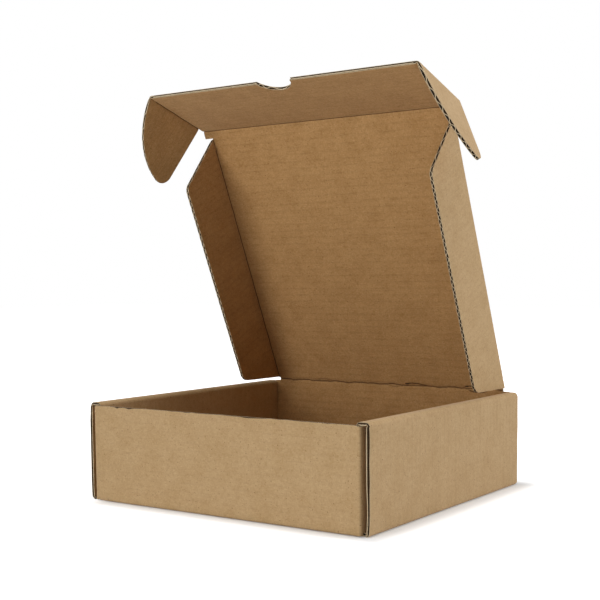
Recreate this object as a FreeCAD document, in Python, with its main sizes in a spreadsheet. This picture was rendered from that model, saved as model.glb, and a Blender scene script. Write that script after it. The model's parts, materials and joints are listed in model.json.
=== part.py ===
"""Roll-end corrugated mailer box, folded from one die-cut blank, millimetres.

The tray, the lid and the lid's five flaps are the seven stiff panels that the
creases leave free to turn against each other.  X runs along the front wall,
+Y goes to the hinge at the back, +Z is up, and the origin is at the middle of
the underside.
"""
import FreeCAD, Part
import math
import os

import Sketcher
from FreeCAD import Vector

SIZES = (
    ("box_width", 265.0, "over the outer faces of the side walls"),
    ("box_depth", 250.0, "from the front wall's outer face to the back wall's"),
    ("side_height", 80.0, "top of the rolled side walls"),
    ("front_height", 78.0, "top of the single front wall"),
    ("board", 2.6, "thickness of the corrugated board"),
    ("liner", 0.4, "thickness of each flat facing of the board"),
    ("web", 0.45, "half the width of the fluted sheet where it meets a facing"),
    ("crest", 0.3, "thickness of the fluted sheet at its crest"),
    ("flute_pitch", 6.3, "from one flute to the next"),
    ("crushed", 3.0, "width of board that a crease has pressed flat"),
    ("fold_radius", 3.0, "outer radius of a fold in the tray"),
    ("fold_clearance", 0.3, "between the two boards at a free crease"),
    ("layer_gap", 0.2, "between boards that lie against each other"),
    ("ear_slot", 3.2, "space in each side wall that an ear slides into"),
    ("wall_recess", 2.0, "side walls end this far behind the front face"),
    ("corner_flap", 75.0, "length of the flaps hidden in the side walls"),
    ("relief", 0.3, "cut between a corner flap and the panels over and under it"),
    ("tab_length", 40.0, "lock tabs under the inner side walls"),
    ("tab_offset", 62.0, "middle of each lock tab from the middle of the wall"),
    ("hollow_depth", 3.0, "depth of the open flute along a raw edge"),
    ("flap_slip", 0.3, "between a square side flap and the inner side wall"),
    ("tuck_gap", 1.1, "between the front wall and the tuck flap hung before it"),
    ("tuck_depth", 72.3, "from the tuck flap's crease to its free edge"),
    ("notch_width", 32.0, "thumb notch, along the free edge"),
    ("notch_depth", 13.2, "thumb notch, at its middle"),
    ("ear_start", 6.5, "from the tuck flap's crease to the ear"),
    ("ear_length", 61.5, "of the ear's straight edge before its tip is rounded"),
    ("ear_arc", 81.0, "radius of the ear's long curved edge"),
    ("ear_tip", 9.0, "radius at the ear's tip"),
    ("flap_depth", 53.0, "of the side flaps"),
    ("flap_start", 2.0, "from the hinge to the side flap's fold"),
    ("flap_setback", 8.0, "from the end of the side flap's fold to the tuck crease"),
    ("flap_back_run", 24.0, "how far the flap's back edge slants along the fold"),
    ("flap_front_run", 27.0, "how far its front edge slants along the fold"),
    ("flap_back_round", 10.0, "radius of its back corner"),
    ("flap_front_round", 8.0, "radius of its front corner"),
    ("slit", 0.8, "cut that parts the side flap from the lid's front corner"),
    ("lid_open", 65.9, "angle of the lid from closed"),
    ("tuck_fold", 49.0, "angle of the tuck flap from the lid's plane"),
    ("ear_fold", 62.0, "angle of the ears from the tuck flap's plane"),
    ("flap_fold", 90.0, "angle of the side flaps from the lid's plane"),
)

doc = FreeCAD.newDocument("MailerBox")
sheet = doc.addObject("Spreadsheet::Sheet", "Sizes")
for row, (alias, size, meaning) in enumerate(SIZES, start=1):
    sheet.set(f"A{row}", meaning)
    sheet.set(f"B{row}", str(size))
    sheet.setAlias(f"B{row}", alias)
doc.recompute()

TOUCH = 1e-6  # points nearer than this are one point

# Places that several panels share, as formulas of the sheet
BOARD = "Sizes.board"
HALF_BOARD = "Sizes.board / 2"
OUTER_X = "Sizes.box_width / 2"
OUTER_Y = "Sizes.box_depth / 2"
SLOT_OUTER_X = f"({OUTER_X} - {BOARD})"
SLOT_INNER_X = f"({SLOT_OUTER_X} - Sizes.ear_slot)"
ROLL_OUTER_X = f"({SLOT_INNER_X} - {BOARD} - Sizes.layer_gap)"
ROLL_INNER_X = f"({ROLL_OUTER_X} - {BOARD})"
ROLL_END_Y = f"({OUTER_Y} - {BOARD} - Sizes.layer_gap)"
WALL_END_Y = f"({OUTER_Y} - Sizes.wall_recess)"
STRIP_UNDER_Z = f"(Sizes.side_height - {BOARD})"
HINGE_Y = f"({OUTER_Y} - {HALF_BOARD})"
HINGE_Z = f"(Sizes.side_height + Sizes.fold_clearance + {HALF_BOARD})"
LID_LENGTH = "(Sizes.box_depth + Sizes.tuck_gap)"
CREASE_SETBACK = f"({HALF_BOARD} + Sizes.fold_clearance)"
EAR_AXIS_X = f"({SLOT_INNER_X} + Sizes.ear_slot / 2)"
TUCK_HALF = f"({EAR_AXIS_X} - {CREASE_SETBACK})"
FLAP_AXIS_X = f"({ROLL_INNER_X} - Sizes.flap_slip - {HALF_BOARD})"
LID_HALF = f"({FLAP_AXIS_X} - {CREASE_SETBACK})"
FLAP_END = f"({LID_LENGTH} - Sizes.flap_setback)"
NOTCH_HALF = "Sizes.notch_width / 2"
NOTCH_RADIUS = f"(({NOTCH_HALF})^2 + Sizes.notch_depth^2) / (2 * Sizes.notch_depth)"


def length_of(holder, formula):
    """The number that a formula gives now."""
    result = holder.evalExpression(formula)
    return getattr(result, "Value", result)


def signed(sign, formula):
    """The formula, or its negative."""
    return formula if sign > 0 else f"-({formula})"


def folded_panel(name, place):
    """A body for one stiff panel, placed by a formula."""
    body = doc.addObject("PartDesign::Body", name)
    body.Label = name
    if place:
        body.setExpression("Placement", place)
    doc.recompute()
    return body


def turned(x, y, z, axis, angle):
    """Placement formula: the point of a crease and the turn about it."""
    return (f"create(<<placement>>; create(<<vector>>; {x}; {y}; {z}); "
            f"create(<<rotation>>; create(<<vector>>; {axis}); {angle}))")


def origin_part(body, role):
    """A plane or axis of the body's own origin."""
    return next(item for item in body.Origin.OriginFeatures if item.Role == role)


def sketch_on(body, name, role, raised=None):
    """An empty sketch on one of the body's planes, raised along its normal."""
    sketch = body.newObject("Sketcher::SketchObject", f"{body.Name}_{name}")
    sketch.AttachmentSupport = [(origin_part(body, role), "")]
    sketch.MapMode = "FlatFace"
    if raised:
        sketch.setExpression("AttachmentOffset.Base.z", raised)
    doc.recompute()
    return sketch


def short_arc(start, end, radius, leftward):
    """The arc under half a turn that bends left or right from start to end."""
    chord = end - start
    normal = Vector(-chord.y, chord.x, 0).normalize() * (1 if leftward else -1)
    centre = (start + end) * 0.5 + normal * math.sqrt(radius ** 2 - (chord.Length / 2) ** 2)
    first, last = (start, end) if leftward else (end, start)
    angles = [math.atan2(p.y - centre.y, p.x - centre.x) for p in (first, last)]
    return Part.ArcOfCircle(Part.Circle(centre, Vector(0, 0, 1), radius), *angles)


def outline(sketch, corners, arcs=()):
    """Close a loop through corners, each a pair of formulas.

    arcs maps a side's number to its radius and whether it bends left.
    """
    arcs = dict(arcs)
    base = sketch.GeometryCount
    count = len(corners)
    points = [Vector(length_of(sketch, x), length_of(sketch, y), 0) for x, y in corners]
    ends = []
    for side, start in enumerate(points):
        finish = points[(side + 1) % count]
        if side in arcs:
            radius, leftward = arcs[side]
            sketch.addGeometry(short_arc(start, finish, length_of(sketch, radius), leftward))
            ends.append((1, 2) if leftward else (2, 1))
        else:
            sketch.addGeometry(Part.LineSegment(start, finish))
            ends.append((1, 2))
    for side in range(count):
        after = (side + 1) % count
        sketch.addConstraint(Sketcher.Constraint(
            "Coincident", base + side, ends[side][1], base + after, ends[after][0]))
    for side, (point, formulas) in enumerate(zip(points, corners)):
        for kind, place, formula in zip(("DistanceX", "DistanceY"), point, formulas):
            index = sketch.addConstraint(Sketcher.Constraint(
                kind, -1, 1, base + side, ends[side][0], place))
            sketch.setExpression(f"Constraints[{index}]", formula)
    for side, (radius, _) in arcs.items():
        index = sketch.addConstraint(Sketcher.Constraint(
            "Radius", base + side, length_of(sketch, radius)))
        sketch.setExpression(f"Constraints[{index}]", radius)
    doc.recompute()


def box_outline(sketch, low_x, high_x, low_y, high_y):
    """A rectangle from four formulas."""
    outline(sketch, ((low_x, low_y), (high_x, low_y), (high_x, high_y), (low_x, high_y)))


def pad(body, sketch, length, midplane=False):
    """Pad a sketch along its normal, or half each way."""
    feature = body.newObject("PartDesign::Pad", f"{sketch.Name}_pad")
    feature.Profile = sketch
    feature.Midplane = midplane
    feature.setExpression("Length", length)
    doc.recompute()
    return feature


def pocket(body, sketch, depth=None, reverse=False, midplane=False):
    """Cut a sketch to a depth, or through all where no depth is given."""
    before = body.Shape.Volume
    feature = body.newObject("PartDesign::Pocket", f"{sketch.Name}_pocket")
    feature.Profile = sketch
    feature.Midplane = midplane
    feature.Reversed = reverse
    if depth:
        feature.setExpression("Length", depth)
    else:
        feature.Type = "ThroughAll"
    doc.recompute()
    if not body.Shape.Volume < before:
        raise RuntimeError(f"{feature.Name} cuts nothing")
    return feature


def round_corner(body, name, radius, x, y):
    """Round the upright edge that stands at a corner given by two formulas."""
    base = body.Tip
    corner = Vector(length_of(body, x), length_of(body, y), 0)
    for number, edge in enumerate(base.Shape.Edges, start=1):
        ends = [Vector(vertex.X, vertex.Y, 0) for vertex in edge.Vertexes]
        if len(ends) == 2 and all(end.isEqual(corner, TOUCH) for end in ends):
            feature = body.newObject("PartDesign::Fillet", f"{body.Name}_{name}")
            feature.Base = (base, [f"Edge{number}"])
            feature.setExpression("Radius", radius)
            doc.recompute()
            return feature
    raise RuntimeError(f"{body.Name} has no corner for {name}")


def crease_bead(body, along, start, length, midplane=False):
    """Half-round edge of a panel along its own crease, about the crease's axis."""
    plane = "YZ_Plane" if along == "X" else "XZ_Plane"
    sketch = sketch_on(body, "bead", plane, start)
    radius = length_of(sketch, HALF_BOARD)
    circle = sketch.addGeometry(Part.Circle(Vector(0, 0, 0), Vector(0, 0, 1), radius))
    sketch.addConstraint(Sketcher.Constraint("Coincident", circle, 3, -1, 1))
    index = sketch.addConstraint(Sketcher.Constraint("Radius", circle, radius))
    sketch.setExpression(f"Constraints[{index}]", HALF_BOARD)
    doc.recompute()
    return pad(body, sketch, length, midplane)


def flutes(body, first, span, side=0):
    """Hollow the board with flute channels that run along X, one pair a pitch.

    first is the formula of where the flutes begin, towards -Y, and span is the
    width that they fill.  With a side, they start past the crushed crease and
    run out of the panel on that side; without one they run right through.
    """
    inner = f"({HALF_BOARD} - Sizes.liner)"
    tip = f"({inner} - Sizes.crest)"
    web, pitch = "Sizes.web", "Sizes.flute_pitch"
    raised = signed(side, "Sizes.crushed") if side else None
    sketch = sketch_on(body, "flute", "YZ_Plane", raised)
    outline(sketch, (
        (f"-({first} + {web})", f"-{inner}"),
        (f"-({first} + {pitch} / 2)", tip),
        (f"-({first} + {pitch} - {web})", f"-{inner}")))
    outline(sketch, (
        (f"-({first} + {pitch} / 2 + {web})", inner),
        (f"-({first} + {pitch})", f"-{tip}"),
        (f"-({first} + {pitch} * 3 / 2 - {web})", inner)))
    channel = pocket(body, sketch, reverse=side > 0, midplane=not side)
    count = f"floor(({span}) / {pitch})"
    pattern = body.newObject("PartDesign::LinearPattern", f"{body.Name}_flutes")
    pattern.Originals = [channel]
    pattern.Direction = (origin_part(body, "Y_Axis"), [""])
    pattern.Reversed = True
    pattern.setExpression("Length", f"{pitch} * ({count} - 1)")
    pattern.setExpression("Occurrences", count)
    body.Tip = pattern
    doc.recompute()


def make_tray():
    """Bottom, four walls and their hidden flaps: one folded sheet."""
    body = folded_panel("tray", None)
    corner_x = f"({SLOT_INNER_X} - Sizes.fold_radius)"
    radius = "Sizes.fold_radius"

    # Bottom, front wall and back wall: one strip folded up at both ends
    strip = sketch_on(body, "strip", "YZ_Plane")
    outline(strip, (
        (f"-{OUTER_Y}", "Sizes.front_height"),
        (f"-{OUTER_Y}", radius),
        (f"-({OUTER_Y} - {radius})", "0"),
        (f"{OUTER_Y} - {radius}", "0"),
        (OUTER_Y, radius),
        (OUTER_Y, "Sizes.side_height"),
        (f"{OUTER_Y} - {BOARD}", "Sizes.side_height"),
        (f"{OUTER_Y} - {BOARD}", BOARD),
        (f"-({OUTER_Y} - {BOARD})", BOARD),
        (f"-({OUTER_Y} - {BOARD})", "Sizes.front_height")),
        {1: (radius, True), 3: (radius, True)})
    pad(body, strip, f"2 * {corner_x}", midplane=True)

    # Outer side walls, folded up from the bottom
    walls = sketch_on(body, "walls", "XZ_Plane")
    for side in (-1, 1):
        outline(walls, (
            (signed(side, ROLL_INNER_X), "0"),
            (signed(side, f"{OUTER_X} - {radius}"), "0"),
            (signed(side, OUTER_X), radius),
            (signed(side, OUTER_X), STRIP_UNDER_Z),
            (signed(side, SLOT_OUTER_X), STRIP_UNDER_Z),
            (signed(side, SLOT_OUTER_X), BOARD),
            (signed(side, ROLL_INNER_X), BOARD)),
            {1: (radius, side > 0)})
    pad(body, walls, f"2 * {WALL_END_Y}", midplane=True)

    # Tops of the side walls, rolled over and down again to the bottom
    rolls = sketch_on(body, "rolls", "XZ_Plane")
    for side in (-1, 1):
        outline(rolls, (
            (signed(side, OUTER_X), STRIP_UNDER_Z + " - Sizes.board"),
            (signed(side, OUTER_X), f"Sizes.side_height - {radius}"),
            (signed(side, f"{OUTER_X} - {radius}"), "Sizes.side_height"),
            (signed(side, f"{ROLL_INNER_X} + {radius}"), "Sizes.side_height"),
            (signed(side, ROLL_INNER_X), f"Sizes.side_height - {radius}"),
            (signed(side, ROLL_INNER_X), f"{BOARD} + Sizes.layer_gap"),
            (signed(side, ROLL_OUTER_X), f"{BOARD} + Sizes.layer_gap"),
            (signed(side, ROLL_OUTER_X), STRIP_UNDER_Z),
            (signed(side, SLOT_OUTER_X), STRIP_UNDER_Z),
            (signed(side, SLOT_OUTER_X), STRIP_UNDER_Z + " - Sizes.board")),
            {1: (radius, side > 0), 3: (radius, side > 0)})
    pad(body, rolls, f"2 * {ROLL_END_Y}", midplane=True)

    # Corner flaps, folded from the front and back walls into the side walls
    flap_foot = f"{BOARD} + Sizes.relief"
    corners = sketch_on(body, "corners", "XY_Plane", flap_foot)
    flap_inner_x = f"({SLOT_INNER_X} - {BOARD})"
    for side in (-1, 1):
        for end in (-1, 1):
            outline(corners, (
                (signed(side, corner_x), signed(end, OUTER_Y)),
                (signed(side, SLOT_INNER_X), signed(end, f"{OUTER_Y} - {radius}")),
                (signed(side, SLOT_INNER_X), signed(end, f"{OUTER_Y} - Sizes.corner_flap")),
                (signed(side, flap_inner_x), signed(end, f"{OUTER_Y} - Sizes.corner_flap")),
                (signed(side, flap_inner_x), signed(end, f"{OUTER_Y} - {BOARD}")),
                (signed(side, corner_x), signed(end, f"{OUTER_Y} - {BOARD}"))),
                {0: (radius, side * end < 0)})
    pad(body, corners, f"{STRIP_UNDER_Z} - Sizes.relief - ({flap_foot})")

    # Lock tabs of the inner side walls in their slots through the bottom
    slots = sketch_on(body, "slots", "XY_Plane")
    tabs = sketch_on(body, "tabs", "XY_Plane")
    for side in (-1, 1):
        for end in (-1, 1):
            for sketch, gap in ((slots, "Sizes.layer_gap"), (tabs, "0")):
                middle = signed(end, "Sizes.tab_offset")
                reach = f"(Sizes.tab_length / 2 + {gap})"
                box_outline(sketch,
                            signed(side, f"{ROLL_INNER_X} - {gap}"),
                            signed(side, f"{ROLL_OUTER_X} + {gap}"),
                            f"{middle} - {reach}", f"{middle} + {reach}")
    pocket(body, slots, BOARD, reverse=True)
    pad(body, tabs, f"2 * {BOARD}")

    # Open flutes along the raw edges of the front wall and the side walls
    groove = sketch_on(body, "top_groove", "XY_Plane", "Sizes.front_height")
    box_outline(groove, f"-{corner_x}", corner_x,
                f"-({OUTER_Y} - Sizes.liner)", f"-({OUTER_Y} - {BOARD} + Sizes.liner)")
    pocket(body, groove, "Sizes.hollow_depth")
    for end, word in ((1, "front"), (-1, "back")):
        groove = sketch_on(body, f"{word}_groove", "XZ_Plane", signed(end, WALL_END_Y))
        for side in (-1, 1):
            box_outline(groove,
                        signed(side, f"{SLOT_OUTER_X} + Sizes.liner"),
                        signed(side, f"{OUTER_X} - Sizes.liner"),
                        radius, f"{STRIP_UNDER_Z} - {BOARD}")
        pocket(body, groove, "Sizes.hollow_depth", reverse=end < 0)
    return body


def make_lid():
    """The lid panel, from the hinge to the tuck flap's crease."""
    body = folded_panel("lid", turned("0", HINGE_Y, HINGE_Z, "1; 0; 0", "-Sizes.lid_open"))
    shoulder_y = f"-({FLAP_END} + Sizes.slit)"
    front_y = f"-({LID_LENGTH} - {CREASE_SETBACK})"
    face = sketch_on(body, "face", "XY_Plane")
    outline(face, (
        (f"-{LID_HALF}", "0"),
        (f"-{LID_HALF}", shoulder_y),
        (f"-{TUCK_HALF}", shoulder_y),
        (f"-{TUCK_HALF}", front_y),
        (TUCK_HALF, front_y),
        (TUCK_HALF, shoulder_y),
        (LID_HALF, shoulder_y),
        (LID_HALF, "0")))
    pad(body, face, BOARD, midplane=True)
    crease_bead(body, "X", None, f"2 * {LID_HALF}", midplane=True)
    flutes(body, "Sizes.crushed", f"{LID_LENGTH} - {CREASE_SETBACK} - 2 * Sizes.crushed")
    return body


def make_tuck_flap():
    """The flap that hangs before the front wall, with its thumb notch."""
    body = folded_panel("tuck_flap", "lid.Placement * " + turned(
        "0", f"-{LID_LENGTH}", "0", "1; 0; 0", "Sizes.tuck_fold"))
    face = sketch_on(body, "face", "XY_Plane")
    outline(face, (
        (f"-{TUCK_HALF}", "0"),
        (f"-{TUCK_HALF}", "-Sizes.tuck_depth"),
        (f"-{NOTCH_HALF}", "-Sizes.tuck_depth"),
        (NOTCH_HALF, "-Sizes.tuck_depth"),
        (TUCK_HALF, "-Sizes.tuck_depth"),
        (TUCK_HALF, "0")),
        {2: (NOTCH_RADIUS, False)})
    pad(body, face, BOARD, midplane=True)
    crease_bead(body, "X", None, f"2 * {TUCK_HALF}", midplane=True)
    flutes(body, "Sizes.crushed", "Sizes.tuck_depth - Sizes.crushed")
    return body


def make_ear(name, side):
    """A curved ear of the tuck flap, which slides into the side wall."""
    body = folded_panel(name, "tuck_flap.Placement * " + turned(
        signed(side, EAR_AXIS_X), "0", "0", "0; 1; 0", signed(side, "Sizes.ear_fold")))
    face = sketch_on(body, "face", "XY_Plane")
    tip = (signed(side, "Sizes.ear_length"), "-Sizes.ear_start")
    outline(face, (
        ("0", "-Sizes.ear_start"), tip, ("0", "-Sizes.tuck_depth")),
        {1: ("Sizes.ear_arc", side < 0)})
    pad(body, face, BOARD, midplane=True)
    round_corner(body, "tip", "Sizes.ear_tip", *tip)
    crease_bead(body, "Y", "Sizes.ear_start", "Sizes.tuck_depth - Sizes.ear_start")
    flutes(body, "Sizes.ear_start",
           "Sizes.tuck_depth - Sizes.ear_start - Sizes.crushed", side)
    return body


def make_side_flap(name, side):
    """A slanted flap along one side of the lid, which drops inside the tray."""
    body = folded_panel(name, "lid.Placement * " + turned(
        signed(side, FLAP_AXIS_X), "0", "0", "0; 1; 0", signed(side, "Sizes.flap_fold")))
    face = sketch_on(body, "face", "XY_Plane")
    back = (signed(side, "Sizes.flap_depth"), "-(Sizes.flap_start + Sizes.flap_back_run)")
    front = (signed(side, "Sizes.flap_depth"), f"-({FLAP_END} - Sizes.flap_front_run)")
    outline(face, (
        ("0", "-Sizes.flap_start"), back, front, ("0", f"-{FLAP_END}")))
    pad(body, face, BOARD, midplane=True)
    round_corner(body, "back_corner", "Sizes.flap_back_round", *back)
    round_corner(body, "front_corner", "Sizes.flap_front_round", *front)
    crease_bead(body, "Y", "Sizes.flap_start", f"{FLAP_END} - Sizes.flap_start")
    flutes(body, "Sizes.flap_start",
           f"{FLAP_END} - Sizes.flap_start - Sizes.crushed", side)
    return body


panels = [
    make_tray(),
    make_lid(),
    make_tuck_flap(),
    make_ear("left_ear", -1),
    make_ear("right_ear", 1),
    make_side_flap("left_side_flap", -1),
    make_side_flap("right_side_flap", 1),
]
doc.recompute()

for item in doc.Objects:
    if "Invalid" in item.State or "Error" in item.State:
        raise RuntimeError(f"{item.Name} failed: {item.State}")
for panel in panels:
    shape = panel.Shape
    if shape.isNull() or not shape.isValid() or len(shape.Solids) != 1:
        raise RuntimeError(f"{panel.Label} isn't one sound solid")

os.makedirs("parts", exist_ok=True)
for panel in panels:
    panel.Shape.exportStep(f"parts/{panel.Label}.step")
    print(f"{panel.Label}: {panel.Shape.Volume / 1000:.1f} cm3, {len(panel.Shape.Faces)} faces")
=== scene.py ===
"""Open roll-end mailer box of brown corrugated board, in metres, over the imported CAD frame.

The whole box is one sheet of B flute board: two thin liners with a waved medium between them.
A point of a panel is given by its run, the distance along the folded board square to its
creases, its place, the distance along the creases, and its height over the board's middle.
One map from these into space bends the liners and the medium alike.
"""

import json
import logging
import math
from collections.abc import Callable
from dataclasses import dataclass, replace
from enum import Enum

import bpy
import numpy as np
from mathutils import Matrix, Vector

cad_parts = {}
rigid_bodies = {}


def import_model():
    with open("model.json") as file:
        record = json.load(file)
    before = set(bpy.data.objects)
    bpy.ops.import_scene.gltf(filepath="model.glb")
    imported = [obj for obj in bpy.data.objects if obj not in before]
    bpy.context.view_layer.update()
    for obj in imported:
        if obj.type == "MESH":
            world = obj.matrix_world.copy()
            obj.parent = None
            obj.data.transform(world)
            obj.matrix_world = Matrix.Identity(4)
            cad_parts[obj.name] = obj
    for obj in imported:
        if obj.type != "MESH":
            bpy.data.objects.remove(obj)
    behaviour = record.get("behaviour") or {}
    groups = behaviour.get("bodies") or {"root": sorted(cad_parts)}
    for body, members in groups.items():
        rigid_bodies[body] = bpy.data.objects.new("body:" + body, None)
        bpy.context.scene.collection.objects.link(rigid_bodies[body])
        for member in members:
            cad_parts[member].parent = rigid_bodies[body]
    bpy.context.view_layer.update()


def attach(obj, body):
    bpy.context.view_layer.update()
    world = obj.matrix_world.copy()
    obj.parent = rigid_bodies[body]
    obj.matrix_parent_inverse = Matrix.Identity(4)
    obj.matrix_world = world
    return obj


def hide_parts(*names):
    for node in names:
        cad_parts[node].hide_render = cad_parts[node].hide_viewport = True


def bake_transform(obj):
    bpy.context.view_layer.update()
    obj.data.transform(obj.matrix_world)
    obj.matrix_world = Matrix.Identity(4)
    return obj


log = logging.getLogger("mailer")
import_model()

MM = 1e-3
Pair = tuple[float, float]
Triple = tuple[float, float, float]


def linear(hex_colour: str) -> tuple[float, float, float, float]:
    """Turn an sRGB hex colour to linear RGBA.

    A channel c becomes c / 12.92 up to 0.04045, and ((c + 0.055) / 1.055) ^ 2.4 above it.

    Args:
        hex_colour: Colour such as "#C0A177".

    Returns:
        Linear red, green and blue, and an alpha of 1.
    """
    channels = [int(hex_colour[i:i + 2], 16) / 255 for i in (1, 3, 5)]
    return (*(c / 12.92 if c <= 0.04045 else ((c + 0.055) / 1.055) ** 2.4 for c in channels), 1.0)


def add_node(tree: bpy.types.NodeTree, kind: str, inputs: dict | None = None, **settings) -> bpy.types.Node:
    """Add a shader node.

    Args:
        tree: Node tree that gets the node.
        kind: Blender's type name of the node.
        inputs: Sockets to link, or values to set, by the input's name or number.
        **settings: Properties of the node.

    Returns:
        The node.
    """
    node = tree.nodes.new(kind)
    for key, value in settings.items():
        setattr(node, key, value)
    for key, value in (inputs or {}).items():
        if isinstance(value, bpy.types.NodeSocket):
            tree.links.new(value, node.inputs[key])
        else:
            node.inputs[key].default_value = value
    return node


@dataclass(frozen=True)
class Camera:
    """The photo's camera, fitted to the corners of the box; angles in radians, lens in mm."""

    eye: Triple = (0.5306, -0.7792, 0.1758)
    azimuth: float = 0.6065
    elevation: float = 0.0961
    roll: float = -0.0077
    lens: float = 68.05
    sensor: float = 36.0
    shift: float = 0.1522

    def build(self) -> bpy.types.Object:
        """Make it the scene's camera.

        Returns:
            The camera.
        """
        right = np.array((math.cos(self.azimuth), math.sin(self.azimuth), 0.0))
        ahead = np.array((-math.sin(self.azimuth) * math.cos(self.elevation),
                          math.cos(self.azimuth) * math.cos(self.elevation),
                          -math.sin(self.elevation)))
        up = np.cross(right, ahead)
        sine, cosine = math.sin(self.roll), math.cos(self.roll)
        rows = np.array((cosine * right + sine * up, -sine * right + cosine * up, -ahead))
        data = bpy.data.cameras.new("camera")
        data.sensor_width = self.sensor
        data.lens = self.lens
        data.shift_y = self.shift
        camera = bpy.data.objects.new("camera", data)
        bpy.context.scene.collection.objects.link(camera)
        camera.matrix_world = Matrix.Translation(Vector(self.eye)) @ Matrix(rows.T.tolist()).to_4x4()
        bpy.context.scene.camera = camera
        return camera


@dataclass(frozen=True)
class Lamp:
    """One soft square area lamp that looks at the middle of the box; power in watts."""

    name: str
    place: Triple
    width: float
    power: float
    aim: Triple = (0.0, 0.0, 0.12)

    def build(self) -> bpy.types.Object:
        """Add the lamp.

        Returns:
            The lamp.
        """
        data = bpy.data.lights.new(self.name, "AREA")
        data.shape = "SQUARE"
        data.size = self.width
        data.energy = self.power
        lamp = bpy.data.objects.new(self.name, data)
        bpy.context.scene.collection.objects.link(lamp)
        turned = (Vector(self.aim) - Vector(self.place)).to_track_quat("-Z", "Y").to_matrix().to_4x4()
        lamp.matrix_world = Matrix.Translation(Vector(self.place)) @ turned
        return lamp


@dataclass(frozen=True)
class Stage:
    """White floor that keeps the shadow, white surroundings and the lamps.

    The floor glows for the camera alone. The glow is weak under the box and grows with the distance from its
    footprint, so the floor is painted darker round the footprint: painted shade where the board meets the
    floor, over the lamps' own shadow.
    """

    lamps: tuple[Lamp, ...] = (
        Lamp("front_lamp", (0.1, -2.2, 0.9), 1.4, 6.5),
        Lamp("low_left_lamp", (-0.7, -2.1, 0.45), 0.8, 16.5),
        Lamp("back_right_lamp", (2.0, 1.2, 0.9), 1.2, 31.0),
        Lamp("top_lamp", (0.1, -0.3, 2.4), 1.6, 34.0),
    )
    ambient: float = 0.02
    floor_size: float = 12.0
    floor_colour: str = "#F0F0F0"
    # The footprint, with its middle moved to the right, and the weak glow next to it paint shade round the
    # box.
    footprint: Triple = (0.1225, 0.125, 1.0)
    footprint_middle: Triple = (0.012, 0.0, 0.0)
    contact_glow: float = 0.12
    contact_reach: float = 0.024
    near_glow: float = 0.68
    far_glow: float = 1.0
    far_reach: float = 0.60

    def seen(self, tree: bpy.types.NodeTree) -> bpy.types.NodeSocket:
        """Tell the rays that see the background from those that light the box.

        Args:
            tree: Node tree that gets the nodes.

        Returns:
            Socket that is 1 for camera, glossy and transmission rays.
        """
        path = add_node(tree, "ShaderNodeLightPath")
        seen = path.outputs["Is Camera Ray"]
        for ray in ("Is Glossy Ray", "Is Transmission Ray"):
            larger = add_node(tree, "ShaderNodeMath", {0: seen, 1: path.outputs[ray]}, operation="MAXIMUM")
            seen = larger.outputs[0]
        return seen

    def surround(self) -> None:
        """Make the world: dim light on the box, and white where it is seen."""
        world = bpy.data.worlds.new("surroundings")
        bpy.context.scene.world = world
        world.use_nodes = True
        tree = world.node_tree
        tree.nodes.clear()
        soft, white = (add_node(tree, "ShaderNodeBackground", {"Color": (1, 1, 1, 1), "Strength": strength})
                       for strength in (self.ambient, 1.0))
        mix = add_node(tree, "ShaderNodeMixShader", {0: self.seen(tree), 1: soft.outputs[0],
                                                     2: white.outputs[0]})
        add_node(tree, "ShaderNodeOutputWorld", {"Surface": mix.outputs[0]})

    def floor_material(self) -> bpy.types.Material:
        """Make the floor's matt white paint.

        The glow's strength is a smooth step from contact_glow to near_glow over contact_reach, plus a smooth
        step up to far_glow at far_reach, over the distance from the footprint. The weak glow next to the
        footprint is painted shade round the box.

        Returns:
            The material.
        """
        material = bpy.data.materials.new("floor")
        material.use_nodes = True
        tree = material.node_tree
        tree.nodes.clear()
        skin = add_node(tree, "ShaderNodeBsdfDiffuse", {"Color": linear(self.floor_colour)})
        away = add_node(tree, "ShaderNodeTexCoord").outputs["Object"]
        for operation, other in (("SUBTRACT", self.footprint_middle), ("ABSOLUTE", None),
                                 ("SUBTRACT", self.footprint), ("MAXIMUM", (0, 0, 0))):
            values = {0: away} if other is None else {0: away, 1: other}
            away = add_node(tree, "ShaderNodeVectorMath", values, operation=operation).outputs[0]
        distance = add_node(tree, "ShaderNodeVectorMath", {0: away}, operation="LENGTH").outputs["Value"]
        near, far = (
            add_node(tree, "ShaderNodeMapRange", {"Value": distance, "From Min": start, "From Max": end,
                                                  "To Min": low, "To Max": high},
                     interpolation_type="SMOOTHSTEP")
            for start, end, low, high in (
                (0.0, self.contact_reach, self.contact_glow, self.near_glow),
                (self.contact_reach, self.far_reach, 0.0, self.far_glow - self.near_glow)))
        level = add_node(tree, "ShaderNodeMath", {0: near.outputs[0], 1: far.outputs[0]}, operation="ADD")
        glow = add_node(tree, "ShaderNodeEmission", {"Color": (1, 1, 1, 1), "Strength": level.outputs[0]})
        lit = add_node(tree, "ShaderNodeAddShader", {0: skin.outputs[0], 1: glow.outputs[0]})
        mix = add_node(tree, "ShaderNodeMixShader", {0: self.seen(tree), 1: skin.outputs[0],
                                                     2: lit.outputs[0]})
        add_node(tree, "ShaderNodeOutputMaterial", {"Surface": mix.outputs[0]})
        return material

    def build(self) -> None:
        """Make the surroundings, the lamps and the floor."""
        scene = bpy.context.scene
        scene.view_settings.view_transform = "Standard"
        self.surround()
        for lamp in self.lamps:
            lamp.build()
        half = self.floor_size / 2
        mesh = bpy.data.meshes.new("floor")
        corners = [(-half, -half, 0), (half, -half, 0), (half, half, 0), (-half, half, 0)]
        mesh.from_pydata(corners, [], [(0, 1, 2, 3)])
        mesh.materials.append(self.floor_material())
        floor = bpy.data.objects.new("floor", mesh)
        scene.collection.objects.link(floor)


class Coat(Enum):
    """Which paper a face shows: the box's outside, its inside, painted darker as the box's shade, a cut edge,
    or the medium between, painted dark brown as the shade in the flutes' hollows.
    """

    OUTER = 0
    INNER = 1
    EDGE = 2
    CORE = 3


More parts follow.
